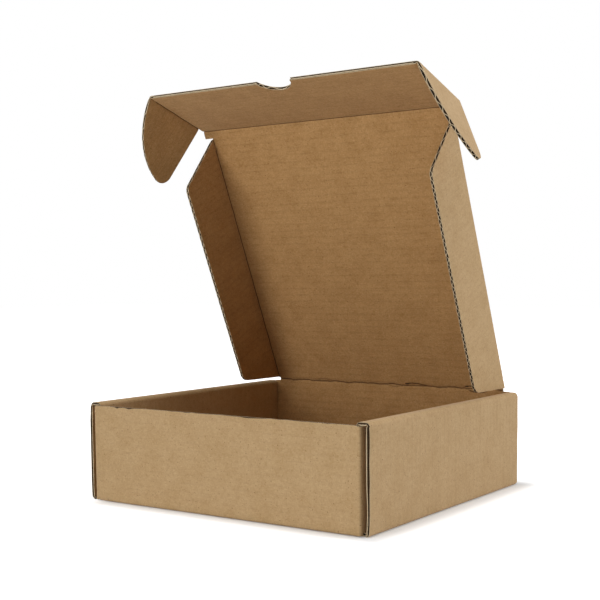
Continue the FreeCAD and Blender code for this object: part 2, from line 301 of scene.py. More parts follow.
@dataclass(frozen=True)
class Board:
    """B flute board, sizes in metres.

    The medium is drawn at 0.52 mm, about twice a real one, so that its waves still show at
    the edges in the render. The liners sink by relief between the flutes, and the medium
    reaches into them by sink, where it is glued.
    """

    thick: float = 2.6 * MM
    liner: float = 0.32 * MM
    medium: float = 0.52 * MM
    pitch: float = 6.3 * MM
    relief: float = 0.02 * MM
    sink: float = 0.03 * MM


BOARD = Board()


def wobble(where: np.ndarray, seed: int, length: float = 30 * MM) -> np.ndarray:
    """Draw a smooth uneven line: six sines of falling wave length and height, with seeded phases.

    Args:
        where: Distances along the line.
        seed: Seed of the phases.
        length: Longest wave length.

    Returns:
        Values between about -1 and 1.
    """
    draw = np.random.default_rng(seed)
    total = np.zeros_like(where, dtype=float)
    for octave in range(6):
        rate = 1.6 ** octave / length * draw.uniform(0.85, 1.15)
        total += np.sin(2 * np.pi * (where * rate + draw.uniform())) / 1.45 ** octave
    return total / 2.0


def hump(where: np.ndarray, middle: float, width: float) -> np.ndarray:
    """Gaussian exp(-((x - middle) / width)^2) of distances."""
    return np.exp(-((where - middle) / width) ** 2)


@dataclass(frozen=True)
class Crease:
    """A pressed line across a panel's run, where the board is crushed.

    Attributes:
        at: Its place along the run.
        wander: How far the line strays.
        seed: Seed of the straying.
        depth: Strength of the mark, 1 for a full one.
        span: Two places along the crease beyond which it fades out, or None.
        bow: How far a crease with a span arches away.
        wide: Width of the soft dent.
        narrow: Width of the sharp line in it.
        inner: Share of the half thickness that the dent and the line take inside.
        outer: The same outside.
    """

    at: float
    wander: float = 0.15 * MM
    seed: int = 1
    depth: float = 1.0
    span: Pair | None = None
    bow: float = 0.0
    wide: float = 1.7 * MM
    narrow: float = 0.6 * MM
    inner: Pair = (0.34, 0.26)
    outer: Pair = (0.10, 0.04)

    def marks(self, run: np.ndarray, place: np.ndarray) -> tuple[np.ndarray, np.ndarray]:
        """Find what the crease takes from the board: two Gaussians of the distance to its line.

        Args:
            run: Distances along the run.
            place: Distances along the crease.

        Returns:
            Shares of the half thickness lost inside and outside.
        """
        line = self.at + self.wander * wobble(place, self.seed)
        strength = np.full_like(run, self.depth)
        if self.span:
            low, high = self.span
            share = np.clip((place - low) / (high - low), 0, 1)
            line = line + self.bow * np.sin(np.pi * share)
            strength = strength * np.clip(8 * share * (1 - share), 0, 1)
        broad = hump(run - line, 0.0, self.wide) * strength
        sharp = hump(run - line, 0.0, self.narrow) * strength
        return tuple(share[0] * broad + share[1] * sharp for share in (self.inner, self.outer))


class Track:
    """Middle line of a folded panel: straight runs joined by round bends in one plane."""

    def __init__(self, corners: list[Triple], radii: list[float], across: Triple) -> None:
        """Lay the runs.

        Args:
            corners: Points where the runs would meet if the bends were sharp.
            radii: Bend radius at each inner corner.
            across: Unit vector along the creases.
        """
        points = np.array(corners, float)
        hops = np.diff(points, axis=0)
        ways = hops / np.linalg.norm(hops, axis=1)[:, None]
        here, gone = points[0], 0.0
        parts = []
        for i, way in enumerate(ways):
            turn = math.acos(float(np.clip(way @ ways[i + 1], -1, 1))) if i < len(radii) else 0.0
            cut = radii[i] * math.tan(turn / 2) if turn else 0.0
            stop = points[i + 1] - way * cut
            parts.append((gone, here, way, np.zeros(3), 0.0))
            gone += float(np.linalg.norm(stop - here))
            here = stop
            if turn:
                inward = ways[i + 1] - way * (way @ ways[i + 1])
                parts.append((gone, here, way, inward / np.linalg.norm(inward), 1 / radii[i]))
                gone += radii[i] * turn
                here = points[i + 1] + ways[i + 1] * cut
        self.starts, self.bases, self.tangents, self.inward, self.bends = map(np.array, zip(*parts))
        self.across = np.array(across, float)
        self.length = gone

    def at(self, run: np.ndarray) -> tuple[np.ndarray, np.ndarray]:
        """Find points of the line.

        On a bend of curvature k the point is base + sin(k d) / k along the run plus
        (1 - cos(k d)) / k towards the bend's middle; the normal is the creases'
        direction crossed with the run.

        Args:
            run: Distances along the line.

        Returns:
            Points and normals.
        """
        part = np.clip(np.searchsorted(self.starts, run, side="right") - 1, 0, len(self.starts) - 1)
        gone = (run - self.starts[part])[..., None]
        bend = self.bends[part][..., None]
        curved = bend > 0
        safe = np.where(curved, bend, 1.0)
        ahead = np.where(curved, np.sin(safe * gone) / safe, gone)
        aside = np.where(curved, (1 - np.cos(safe * gone)) / safe, 0.0)
        points = self.bases[part] + ahead * self.tangents[part] + aside * self.inward[part]
        angle = safe * gone * curved
        way = np.cos(angle) * self.tangents[part] + np.sin(angle) * self.inward[part]
        return points, np.cross(self.across, way)


FINISHES: dict[Coat, bpy.types.Material] = {}


class Shell:
    """Mesh under construction, from closed slabs of quads."""

    SHARP = math.radians(40)

    def __init__(self) -> None:
        """Start with no slabs."""
        self.points: list[np.ndarray] = []
        self.flat: list[np.ndarray] = []
        self.quads: list[np.ndarray] = []
        self.coats: list[np.ndarray] = []
        self.crush_and_shade: list[np.ndarray] = []
        self.count = 0

    def slab(self, top: np.ndarray, under: np.ndarray, flat: np.ndarray, coats: tuple[Coat, Coat, Coat],
             keep: np.ndarray | None, crush_and_shade: np.ndarray) -> None:
        """Close the space between two grids of points with quads that face outward.

        Each kept cell gives a quad on both sides, and each of its edges without a kept
        neighbour a quad that joins them.

        Args:
            top: Grid of points, rows x columns x 3.
            under: The other side's grid.
            flat: The points' place on the flat blank, rows x columns x 2.
            coats: Coat of the top, of the other side and of the rims.
            keep: Which cells the slab has, or None for all.
            crush_and_shade: How creased each point is, 0 to 1.
        """
        rows, columns = top.shape[:2]
        keep = np.ones((rows - 1, columns - 1), bool) if keep is None else keep
        number = np.arange(rows * columns).reshape(rows, columns)
        a, b, c, d = number[:-1, :-1], number[1:, :-1], number[1:, 1:], number[:-1, 1:]
        down = rows * columns
        wide = np.zeros((rows + 1, columns + 1), bool)
        wide[1:-1, 1:-1] = keep
        faces = [np.stack((a, b, c, d), -1)[keep], np.stack((d, c, b, a), -1)[keep] + down]
        sides = len(faces[0])
        for first, second, beside in ((a, b, wide[1:-1, :-2]), (b, c, wide[2:, 1:-1]),
                                      (c, d, wide[1:-1, 2:]), (d, a, wide[:-2, 1:-1])):
            edge = keep & ~beside
            faces.append(np.stack((second, first, first + down, second + down), -1)[edge])
        quads = np.concatenate(faces)
        row, column = rows // 2 - 1, columns // 2 - 1
        corner = top[row, column]
        turn = np.cross(top[row + 1, column] - corner, top[row, column + 1] - corner)
        if turn @ (corner - under[row, column]) < 0:
            quads = quads[:, ::-1]
        used, quads = np.unique(quads, return_inverse=True)
        quads = quads.reshape(-1, 4)
        self.points.append(np.concatenate((top.reshape(-1, 3), under.reshape(-1, 3)))[used])
        self.flat.append(np.concatenate((flat.reshape(-1, 2),) * 2)[used])
        self.crush_and_shade.append(np.concatenate((crush_and_shade.ravel(),) * 2)[used])
        self.quads.append(quads + self.count)
        coat = np.full(len(quads), coats[2].value)
        coat[:sides], coat[sides:2 * sides] = coats[0].value, coats[1].value
        self.coats.append(coat)
        self.count += len(used)

    def make(self, name: str) -> bpy.types.Object:
        """Turn the slabs into one object with its coats, flat blank map and worn attribute.

        Args:
            name: Name of the piece.

        Returns:
            The piece.
        """
        points, quads = np.concatenate(self.points), np.concatenate(self.quads)
        mesh = bpy.data.meshes.new(name)
        mesh.vertices.add(len(points))
        mesh.vertices.foreach_set("co", points.astype(np.float32).ravel())
        mesh.loops.add(quads.size)
        mesh.loops.foreach_set("vertex_index", quads.astype(np.int32).ravel())
        mesh.polygons.add(len(quads))
        mesh.polygons.foreach_set("loop_start", np.arange(0, quads.size, 4, dtype=np.int32))
        mesh.polygons.foreach_set("material_index", np.concatenate(self.coats).astype(np.int32))
        mesh.update(calc_edges=True)
        flat = np.concatenate(self.flat)[quads.ravel()]
        mesh.uv_layers.new(name="flat").data.foreach_set("uv", flat.astype(np.float32).ravel())
        mesh.attributes.new("crush_and_shade", "FLOAT", "POINT").data.foreach_set(
            "value", np.concatenate(self.crush_and_shade).astype(np.float32))
        mesh.validate()
        mesh.shade_smooth()
        mesh.set_sharp_from_angle(angle=self.SHARP)
        for coat in Coat:
            mesh.materials.append(FINISHES[coat])
        piece = bpy.data.objects.new(name, mesh)
        bpy.context.scene.collection.objects.link(piece)
        return piece


def joined(even: np.ndarray, marks: np.ndarray, size: float) -> np.ndarray:
    """Even values with the marked ones, without the even ones closer than a fifth of size to a mark."""
    kept = even[np.abs(even[:, None] - marks).min(1) > size * 0.2] if len(marks) else even
    return np.concatenate((kept, marks))


def steps(low: float, high: float, size: float, *extra: float) -> np.ndarray:
    """Divide a distance evenly.

    Args:
        low: First value.
        high: Last value.
        size: Wanted distance between values.
        *extra: Values to hit as well.

    Returns:
        Rising values.
    """
    even = np.linspace(low, high, max(2, int(round((high - low) / size)) + 1))
    marks = np.array([x for x in extra if low < x < high])
    return np.unique(np.concatenate((joined(even, marks, size), (low, high))))


def sampled(low: float, high: float, share: int, *extra: float) -> np.ndarray:
    """Divide a distance at whole shares of the flute pitch, so that each flute is cut alike.

    Args:
        low: First value.
        high: Last value.
        share: Values in each flute.
        *extra: Values to hit as well.

    Returns:
        Rising values.
    """
    size = BOARD.pitch / share
    even = np.arange(math.ceil(low / size), math.floor(high / size) + 1) * size
    return np.unique(joined(even, np.array((low, high, *(x for x in extra if low < x < high))), size))


@dataclass(frozen=True)
class Net:
    """Grid of runs and places, with the cells that are board, or None for all."""

    run: np.ndarray
    place: np.ndarray
    keep: np.ndarray | None = None


def lay(rows: np.ndarray, columns: np.ndarray,
        keep: Callable[[np.ndarray, np.ndarray], np.ndarray]) -> Net:
    """Lay a straight net.

    Args:
        rows: Runs of its rows.
        columns: Places of its columns.
        keep: Function from the run and place of a cell's middle to whether it is board.

    Returns:
        The net.
    """
    run, place = np.meshgrid(rows, columns, indexing="ij")
    middles = np.meshgrid((rows[1:] + rows[:-1]) / 2, (columns[1:] + columns[:-1]) / 2, indexing="ij")
    return Net(run, place, keep(*middles))


@dataclass(frozen=True)
class Panel:
    """One folded sheet of board on its track.

    Attributes:
        track: Middle line of the folded sheet.
        creases: Lines pressed into it.
        flutes_across: Whether the waves follow each other along the run.
        inside: Side of the normal that is the inside of the box, 1 or -1.
        origin: Where run 0 and place 0 lie on the flat blank.
        run_way: Direction of the run on the blank.
        place_way: Direction of the place on the blank.
        phase: Shift of the waves.
        warp: Function from run and place to how far the sheet stands off the track.
        fray: Function from run, place and layer (1, 0 or -1) to where they are cut.
    """

    FULL_INNER = 0.6
    FULL_OUTER = 0.28

    track: Track
    creases: tuple[Crease, ...]
    flutes_across: bool
    inside: int
    origin: Pair
    run_way: Pair = (0.0, 1.0)
    place_way: Pair = (1.0, 0.0)
    phase: float = 0.0
    warp: Callable[[np.ndarray, np.ndarray], np.ndarray] | None = None
    fray: Callable[[np.ndarray, np.ndarray, int], tuple[np.ndarray, np.ndarray]] | None = None

    def lost(self, net: Net) -> tuple[np.ndarray, np.ndarray]:
        """Find the share of the half thickness that the deepest crease takes at each point.

        Args:
            net: Points of the sheet.

        Returns:
            Shares lost inside and outside.
        """
        marks = [crease.marks(net.run, net.place) for crease in self.creases]
        return tuple(np.maximum.reduce(side) for side in zip(*marks))

    def lift(self, net: Net, height: np.ndarray, layer: int) -> np.ndarray:
        """Map points of the sheet into space: track point + place along the crease + height along the normal.

        Args:
            net: Points of the sheet.
            height: Their height over its middle.
            layer: Which paper they belong to: 1, 0 for the medium, or -1.

        Returns:
            Grid of points.
        """
        away = self.warp(net.run, net.place) if self.warp else 0.0
        run, place = self.fray(net.run, net.place, layer) if self.fray else (net.run, net.place)
        spine, normal = self.track.at(run)
        return spine + place[..., None] * self.track.across + (height + away)[..., None] * normal

    def flat(self, net: Net) -> np.ndarray:
        """Place on the flat blank, in metres: origin + run and place along their directions."""
        return (np.array(self.origin) + net.run[..., None] * np.array(self.run_way)
                + net.place[..., None] * np.array(self.place_way))

    def turns(self, net: Net) -> np.ndarray:
        """Angle of the wave, 2 pi x / pitch, with x the distance across the flutes."""
        across = net.run if self.flutes_across else net.place
        return 2 * np.pi * (across + self.phase) / BOARD.pitch

    def fill(self, shell: Shell, skin: Net, core: Net) -> None:
        """Add the two liners and the medium to a shell.

        The medium's middle is reach c (3 - c^2) / 2 with c = cos(2 pi x / pitch), which is
        flat where it is glued to a liner; its thickness across the sheet grows with the
        slope, so that it stays even along the wave.

        Args:
            shell: Mesh that gets them.
            skin: Net of the liners.
            core: Finer net of the medium.
        """
        half, liner = BOARD.thick / 2, BOARD.liner
        ripple = BOARD.relief * (np.cos(self.turns(skin)) - 1)
        inner, outer = self.lost(skin)
        for side in (1, -1):
            inside = side == self.inside
            face = Coat.INNER if inside else Coat.OUTER
            # How strongly each crease is darkened: the crushed board's tone with painted shade in the fold,
            # more on the inside.
            lost, crush_and_shade = (inner, inner / self.FULL_INNER) if inside else (outer, outer / self.FULL_OUTER)
            height = side * (half * (1 - lost) + ripple)
            sheets = [self.lift(skin, height, side), self.lift(skin, height - side * liner, side)]
            # The liners' backs take the medium's coat, painted dark brown as the shade between the liners.
            coats = (face, Coat.CORE, Coat.EDGE)
            if side < 0:
                sheets.reverse()
                coats = (Coat.CORE, face, Coat.EDGE)
            shell.slab(*sheets, self.flat(skin), coats, skin.keep, crush_and_shade)
        inner, _ = self.lost(core)
        reach = half * (1 - inner) - liner - BOARD.medium / 2 + BOARD.sink
        turn = self.turns(core)
        slope = 1.5 * reach * 2 * np.pi / BOARD.pitch * np.sin(turn) ** 3
        body = BOARD.medium / 2 * np.sqrt(1 + slope ** 2)
        middle = reach * np.cos(turn) * (3 - np.cos(turn) ** 2) / 2
        shell.slab(self.lift(core, middle + body, 0), self.lift(core, middle - body, 0), self.flat(core),
                   (Coat.CORE, Coat.CORE, Coat.EDGE), core.keep, inner / self.FULL_INNER)


# Half the bottom, square, and the lid's length from hinge to tuck crease.
BOTTOM_HALF = 123.7 * MM
LID_LONG = 251.1 * MM
# Distances of the lid's hinge and the tuck crease from the bottom's middle on the flat blank.
BLANK_HINGE = BOTTOM_HALF + 77.8 * MM
BLANK_TUCK = BLANK_HINGE + LID_LONG
# How much of its parent each hinged piece carries, and the bend radius of its middle line.
OVERLAP = 3.8 * MM
LID_BEND = 2.0 * MM
# The side walls' lock tabs and the slots that take them, from the box's middle.
SLOT_HALF = 20.2 * MM
TAB_AT = 62.0 * MM
# Axes of the hinges in the photo's pose, directions along the panels, and directions into the box.
RIGHT = np.array((1.0, 0.0, 0.0))
HINGE = np.array((0.0, 123.7, 81.6)) * MM
LID_WAY = np.array((0.0, -0.408330, 0.912834))
LID_IN = np.array((0.0, -0.912834, -0.408330))
TUCK_AT = HINGE + LID_WAY * LID_LONG
TUCK_WAY = np.array((0.0, -0.956814, 0.290702))
TUCK_IN = np.array((0.0, -0.290702, -0.956814))


def fold_over(piece: bpy.types.Object, parent: str, body: str, axis: np.ndarray,
              way: np.ndarray) -> None:
    """Put a piece in the place of its CAD node: hide the node and bake the piece's transform.

    Args:
        piece: The piece.
        parent: Body that the piece hangs on; not used.
        body: Body and CAD node that the piece takes the place of.
        axis: A point of the hinge's axis; not used.
        way: Unit vector from the axis into the body; not used.
    """
    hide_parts(body)
    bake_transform(piece)


@dataclass(frozen=True)
class BaseStrip:
    """Front wall, bottom and back wall in one strip, with slots for the side walls' tabs.

    Attributes:
        bend: Radius of the folds' middle line.
        low: Height of the bottom's middle line.
        front_top: Height of the front wall.
        back_top: Height of the back wall beside the lid.
        shoulder: Height of the back wall where the lid begins.
        lid_half: Half width of the gap for the lid.
        slot_in: Where the slots start, from the middle.
        fold_shift: How much the round fold shortens each run.
        ragged: Height and longest wave of the two uneven lines along the front's top edge, in mm.
        nicks: Depth, place and width of the scuffed nicks there, in mm.
        worn_down: Distance over which the unevenness fades below the edge.
    """

    bend: float = 1.7 * MM
    low: float = 1.3 * MM
    front_top: float = 78.0 * MM
    back_top: float = 80.0 * MM
    shoulder: float = 77.8 * MM
    lid_half: float = 118.5 * MM
    slot_in: float = 121.1 * MM
    fold_shift: float = 0.3 * MM
    ragged: tuple[Pair, ...] = ((0.35, 50.0), (0.25, 7.0))
    nicks: tuple[Triple, ...] = ((1.3, -101.0, 1.8), (0.8, -88.0, 4.0), (0.7, 32.0, 9.0))
    worn_down: float = 2.5 * MM

    def fray(self, run: np.ndarray, place: np.ndarray, layer: int) -> tuple[np.ndarray, np.ndarray]:
        """Lower the front wall's top edge by a ragged line, with scuffed nicks in the outer liner.

        Args:
            run: Distances from the top edge.
            place: Distances along it.
            layer: Which paper, -1 for the outer liner.

        Returns:
            Run and place of the cut paper.
        """
        fade = np.exp(-run / self.worn_down)
        line = sum(high * wobble(place, seed + layer, long * MM)
                   for seed, (high, long) in zip((21, 31), self.ragged))
        nick = sum(deep * hump(place, middle * MM, width * MM) for deep, middle, width in self.nicks)
        return run + fade * (0.15 + np.abs(line) + nick * (layer < 0)) * MM, place

    def build(self) -> bpy.types.Object:
        """Make the strip.

        Returns:
            The piece, which stands for the tray's solid.
        """
        half = BOTTOM_HALF
        track = Track([(0, -half, self.front_top), (0, -half, self.low), (0, half, self.low),
                       (0, half, self.back_top)], [self.bend] * 2, (1, 0, 0))
        total = track.length
        first = self.front_top - self.low - self.fold_shift
        second = total - (self.back_top - self.low) + self.fold_shift
        middle = (first + second) / 2
        shoulder = total - (self.back_top - self.shoulder)
        panel = Panel(track, (Crease(first, seed=3), Crease(second, seed=4)), True, 1, (0.0, -middle),
                      fray=self.fray)

        def keep(run: np.ndarray, place: np.ndarray) -> np.ndarray:
            """Leave out the gap for the lid and the four slots.

            Args:
                run: Runs of the cells.
                place: Places of the cells.

            Returns:
                Which cells are board.
            """
            gap = (run > shoulder) & (np.abs(place) < self.lid_half)
            slot = (np.abs(np.abs(run - middle) - TAB_AT) < SLOT_HALF) & (np.abs(place) > self.slot_in)
            return ~(gap | slot)

        marks = [middle + sign * TAB_AT + edge for sign in (-1, 1) for edge in (-SLOT_HALF, SLOT_HALF)]
        folds = [at + step for at in (first, second) for step in np.linspace(-1.2, 1.2, 7) * MM]
        wanted = (*marks, shoulder, 0.4 * MM, *folds)
        bottom = (first + 2 * MM, second - 2 * MM)
        rows = np.unique(np.concatenate((steps(0.0, bottom[0], BOARD.pitch / 8, *wanted),
                                         sampled(*bottom, 4, *wanted),
                                         steps(bottom[1], total, BOARD.pitch / 8, *wanted))))
        lines = (-half, -self.slot_in, -self.lid_half, self.lid_half, self.slot_in)
        nick = np.linspace(-104, -98, 5) * MM
        shell = Shell()
        panel.fill(shell, lay(rows, steps(-half, half, 5 * MM, *lines, *nick), keep),
                   lay(sampled(0.0, total, 12, *marks, shoulder), steps(-half, half, 30 * MM, *lines), keep))
        piece = shell.make("base_strip")
        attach(piece, "tray")
        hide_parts("tray")
        return piece


@dataclass(frozen=True)
class SideWall:
    """Double side wall: up from the bottom, rolled over the top and down inside, with its lock tabs.

    Attributes:
        side: -1 for the left wall and 1 for the right one.
        lean: How far the front end stands off the corner flap at the bottom and at the top.
        rough: Height of the raw ends' unevenness, in mm.
        swell: How far the medium bulges out of the front end, in mm.
        proud: How far the medium and the inner liner stand out above proud_from, in mm.
        bend: Radius of the folds' middle line.
        low: Height of the bottom's middle line.
        outer_at: Middle line of the outer layer, from the box's middle.
        inner_at: Middle line of the inner layer.
        top: Height of the top's middle line.
        half: Half the outer layer's length.
        roll_half: Half the length from the top on.
        foot_half: Half the length next to the bottom, up to foot_run.
        foot_run: Run up to which it is that long.
        tab_half: Half a lock tab's length.
        tab_run: How far the tabs reach down.
        slot_run: Width of the slots on the bottom's side.
        proud_from: Height over the lower fold.
        fade: Distance over which the unevenness fades behind an end.
        lean_reach: Distance over which the lean fades towards the back.
    """

    side: int
    lean: Pair
    rough: float
    swell: float
    proud: float
    bend: float = 1.7 * MM
    low: float = 1.3 * MM
    outer_at: float = 131.2 * MM
    inner_at: float = 122.6 * MM
    top: float = 78.7 * MM
    half: float = 123.0 * MM
    roll_half: float = 122.2 * MM
    foot_half: float = 120.5 * MM
    foot_run: float = 5.6 * MM
    tab_half: float = 20.0 * MM
    tab_run: float = 2.8 * MM
    slot_run: float = 0.4 * MM
    proud_from: float = 26 * MM
    fade: float = 2.0 * MM
    lean_reach: float = 30 * MM

    @property
    def low_fold(self) -> float:
        """Run of the fold at the bottom, at the middle of its bend."""
        return self.outer_at - BOTTOM_HALF + self.bend * (math.pi / 4 - 1)

    @property
    def top_fold(self) -> float:
        """Run of the outer fold at the top."""
        return self.low_fold + self.top - self.low + self.bend * (math.pi / 2 - 2)

    @property
    def roll_fold(self) -> float:
        """Run of the inner fold at the top."""
        return self.top_fold + self.outer_at - self.inner_at + self.bend * (math.pi / 2 - 2)

    def fray(self, run: np.ndarray, place: np.ndarray, layer: int) -> tuple[np.ndarray, np.ndarray]:
        """Make the raw ends ragged, with a bulging medium and a proud inner liner at the front one.

        Args:
            run: Distances along the run.
            place: Distances along the wall.
            layer: Which paper, 0 for the medium and -1 for the inner liner.

        Returns:
            Run and place of the cut paper.
        """
        fade = np.exp(-(self.half - np.abs(place)) / self.fade)
        front = place * self.side < 0
        ragged = 0.45 * wobble(run, 41 + layer + self.side) + 0.3 * wobble(run, 51 + layer, 6 * MM)
        upper = np.clip((run - self.low_fold - self.proud_from) / (4 * MM), 0, 1)
        proud = self.proud * upper * (layer <= 0) * front
        swell = self.swell * np.clip(wobble(run, 61 + self.side, 20 * MM), -0.2, 1)
        bulge = np.where(front & (layer == 0), swell, 0.0)
        return run, place + np.sign(place) * fade * (ragged * self.rough - 0.45 + bulge + proud) * MM

    def warp(self, run: np.ndarray, place: np.ndarray) -> np.ndarray:
        """Let the outer wall lean off the corner flap towards its front end, less at both folds.

        Args:
            run: Distances along the run.
            place: Distances along the wall.

        Returns:
            How far the wall stands out.
        """
        height = np.clip((run - self.low_fold) / (self.top_fold - self.low_fold), 0, 1)
        near = np.exp(-(self.half + place * self.side) / self.lean_reach)
        bottom, top = self.lean
        held = np.clip(height * 7, 0, 1) * np.clip((1 - height) * 7, 0, 1)
        return (bottom + (top - bottom) * height) * near * held ** 0.7

    def build(self) -> bpy.types.Object:
        """Make the wall.

        Returns:
            The piece, which rides on the tray.
        """
        side = self.side
        points = ((BOTTOM_HALF, self.low), (self.outer_at, self.low), (self.outer_at, self.top),
                  (self.inner_at, self.top), (self.inner_at, 0.0))
        track = Track([(side * x, 0, z) for x, z in points], [self.bend] * 3, (0, side, 0))
        total = track.length
        low_fold, top_fold, roll_fold = self.low_fold, self.top_fold, self.roll_fold
        creases = (Crease(low_fold, seed=5), Crease(top_fold, seed=6), Crease(roll_fold, seed=7))
        foot = total - self.tab_run
        roll = top_fold - self.bend * math.pi / 4
        panel = Panel(track, creases, False, -1, (side * BOTTOM_HALF, 0.0), (side, 0.0), (0.0, side),
                      warp=self.warp, fray=self.fray)

        def keep(run: np.ndarray, place: np.ndarray) -> np.ndarray:
            """Leave out the slots' edges, the space beside the tabs and what the ends fall short of.

            Args:
                run: Runs of the cells.
                place: Places of the cells.

            Returns:
                Which cells are board.
            """
            along = np.abs(place)
            slot = (run < self.slot_run) & (np.abs(along - TAB_AT) < SLOT_HALF)
            beside = (run > foot) & (np.abs(along - TAB_AT) > self.tab_half)
            rolled = (run > roll) & (along > self.roll_half)
            narrow = (run < self.foot_run) & (along > self.foot_half)
            return ~(slot | beside | rolled | narrow)

        def rows(size: float, low_count: int, top_count: int) -> np.ndarray:
            """Divide the run, more closely over the folds.

            Args:
                size: Distance between rows elsewhere.
                low_count: Rows over the lower fold.
                top_count: Rows over the roll at the top.

            Returns:
                Runs of the rows.
            """
            return steps(0, total, size, self.slot_run, foot, roll, self.foot_run,
                         *np.linspace(low_fold - 1.6 * MM, low_fold + 2 * MM, low_count),
                         *np.linspace(top_fold - 2 * MM, roll_fold + 2.4 * MM, top_count))

        ends = [sign * value for sign in (-1, 1)
                for value in (self.roll_half, self.foot_half, TAB_AT + SLOT_HALF, TAB_AT - self.tab_half,
                              TAB_AT + self.tab_half, TAB_AT - SLOT_HALF)]
        shell = Shell()
        panel.fill(shell, lay(rows(7 * MM, 9, 24), sampled(-self.half, self.half, 6, *ends), keep),
                   lay(rows(14 * MM, 7, 17), sampled(-self.half, self.half, 12, *ends), keep))
        piece = shell.make("left_wall" if side < 0 else "right_wall")
        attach(piece, "tray")
        return piece


@dataclass(frozen=True)
class CornerFlap:
    """Flap of the front or back wall, folded into the double side wall.

    Attributes:
        side: -1 for the left and 1 for the right.
        end: -1 for the front and 1 for the back.
        bend: Radius of the fold's middle line.
        wall_at: Its middle line between the side wall's layers, from the box's middle.
        tip: Where it ends, from the box's middle.
        low: Height of its lower edge next to the fold, up to foot_run.
        high: Height of its upper edge.
        foot: Height of its lower edge elsewhere.
        foot_run: Run up to which it reaches lower.
    """

    side: int
    end: int
    bend: float = 0.6 * MM
    wall_at: float = 125.4 * MM
    tip: float = 50.0 * MM
    low: float = 0.9 * MM
    high: float = 77.1 * MM
    foot: float = 2.9 * MM
    foot_run: float = 3.6 * MM

    def build(self) -> bpy.types.Object:
        """Make the flap.

        Returns:
            The piece, which rides on the tray.
        """
        side, end, half = self.side, self.end, BOTTOM_HALF
        up = side * end
        track = Track([(side * half, end * half, 0), (side * self.wall_at, end * half, 0),
                       (side * self.wall_at, end * self.tip, 0)], [self.bend], (0, 0, up))
        fold = self.wall_at - half + self.bend * (math.pi / 4 - 1)
        panel = Panel(track, (Crease(fold, seed=11 + end),), False, -1, (side * half, end * half),
                      (side, 0.0), (0.0, side))

        def keep(run: np.ndarray, place: np.ndarray) -> np.ndarray:
            """Leave out the lowest strip, but for the part next to the fold."""
            return (np.abs(place) > self.foot) | (run < self.foot_run)

        rows = steps(0, track.length, 8 * MM, self.foot_run, *np.linspace(0.2 * MM, 3.4 * MM, 11))
        low, high = sorted((up * self.low, up * self.high))
        shell = Shell()
        panel.fill(shell, *(lay(rows, steps(low, high, BOARD.pitch / share, up * self.foot), keep)
                            for share in (6, 12)))
        words = ("left" if side < 0 else "right", "front" if end < 0 else "back")
        piece = shell.make("_".join(words) + "_corner_flap")
        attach(piece, "tray")
        return piece


@dataclass(frozen=True)
class Tray:
    """Lower half of the box: base strip, side walls and corner flaps."""

    base: BaseStrip = BaseStrip()
    walls: tuple[SideWall, ...] = (
        SideWall(-1, lean=(0.8 * MM, 0.5 * MM), rough=0.4, swell=0.4, proud=0.0),
        SideWall(1, lean=(0.4 * MM, 0.4 * MM), rough=0.7, swell=0.8, proud=0.9),
    )

    def build(self) -> list[bpy.types.Object]:
        """Make every part of the tray.

        Returns:
            Its pieces.
        """
        pieces = [self.base.build()]
        for wall in self.walls:
            pieces.append(wall.build())
            pieces += [CornerFlap(wall.side, end).build() for end in (-1, 1)]
        return pieces


